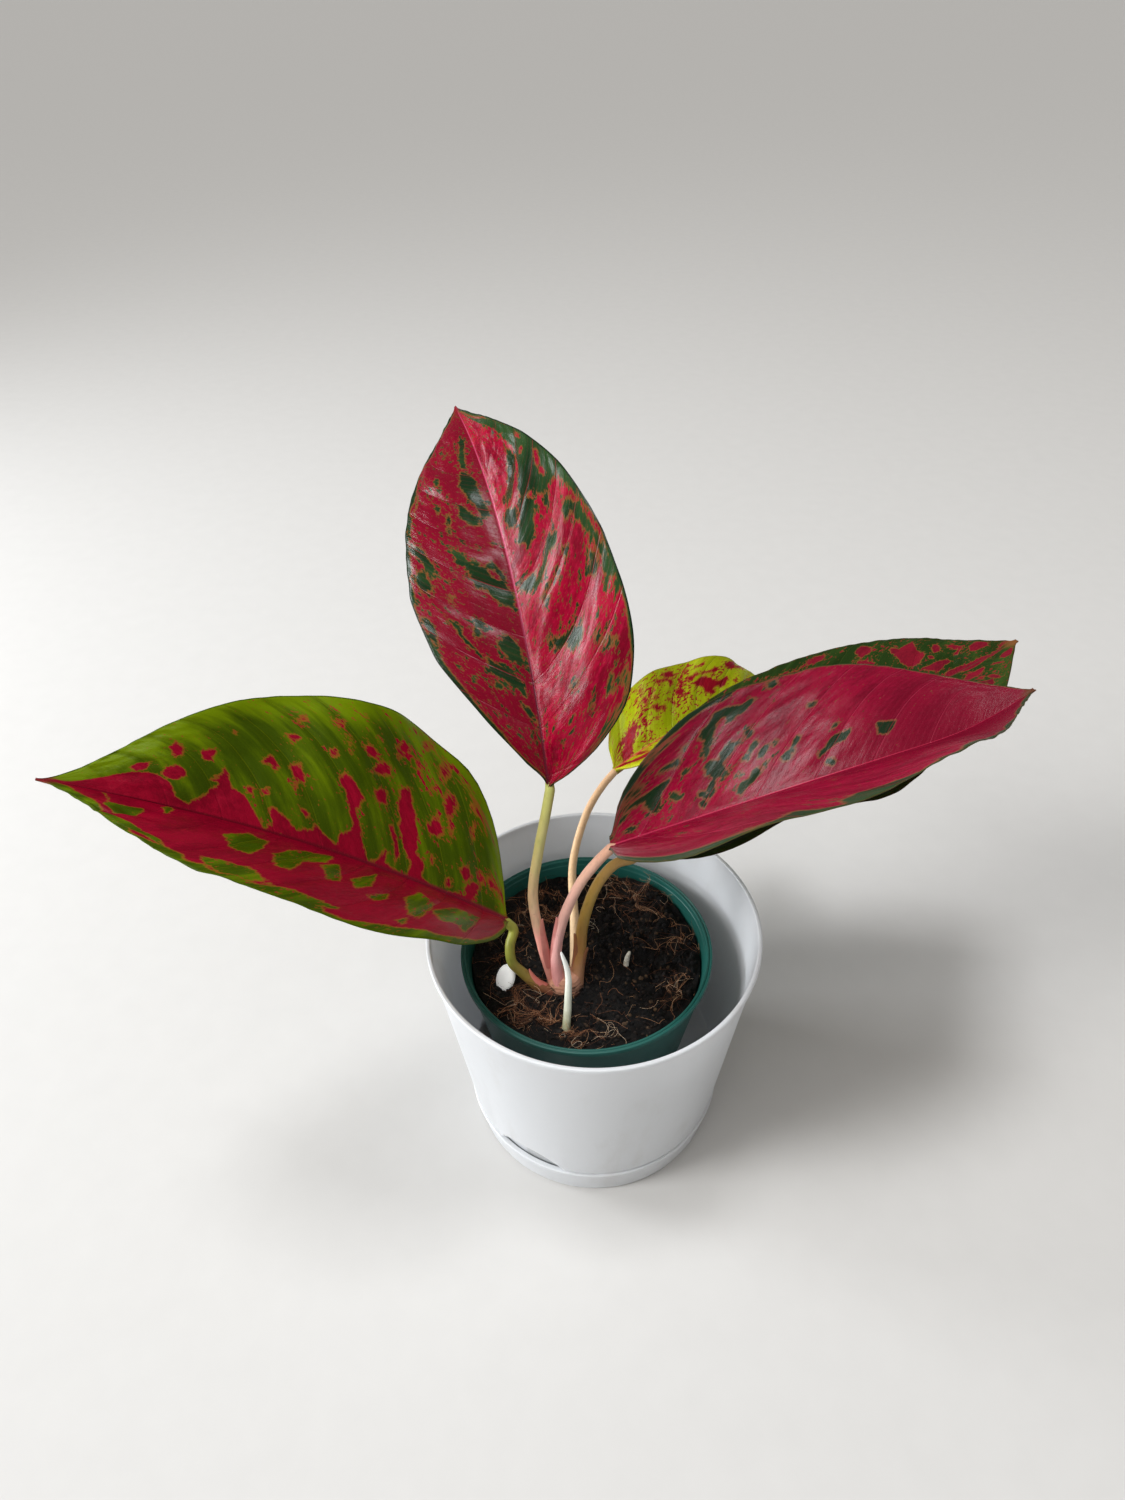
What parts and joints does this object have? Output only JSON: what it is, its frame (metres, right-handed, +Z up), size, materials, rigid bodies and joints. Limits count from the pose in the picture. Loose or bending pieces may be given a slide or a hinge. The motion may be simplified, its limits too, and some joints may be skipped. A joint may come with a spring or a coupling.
{
  "type": "potted chinese evergreen",
  "caption": "Young chinese evergreen with broad folded red and green leaves on slim petioles, in a nursery pot of soil that stands loose in a white tapered cover pot on its saucer.",
  "frame": {"origin": "centre of the saucer's flat underside, on the surface that it stands on", "axes": "+Z up along the pots' axis; -Y towards the viewer of the reference picture; +X to the viewer's right, where the two longest leaves reach"},
  "size_m": [0.3981, 0.2257, 0.3128],
  "materials": {
    "white_plastic": "satin",
    "green_plastic": "satin",
    "soil": "matte",
    "crown": "satin",
    "shoot": "satin",
    "perlite": "matte",
    "blade_upright": "satin",
    "blade_left": "satin",
    "blade_front": "satin",
    "blade_back": "satin",
    "blade_small": "satin",
    "petiole_upright": "satin",
    "petiole_left": "satin",
    "petiole_front": "satin",
    "petiole_back": "satin",
    "petiole_small": "satin"
  },
  "bodies": {
    "root": {"saucer": "white_plastic", "cover_pot": "white_plastic", "nursery_pot": "green_plastic", "soil": "soil", "crown": "crown", "petiole_upright": "petiole_upright", "petiole_left": "petiole_left", "petiole_front": "petiole_front", "petiole_back": "petiole_back", "petiole_small": "petiole_small", "blade_upright": "blade_upright", "blade_left": "blade_left", "blade_front": "blade_front", "blade_back": "blade_back", "blade_small": "blade_small", "shoot": "shoot", "chip": "perlite", "sliver": "perlite"}
  },
  "joints": []
}
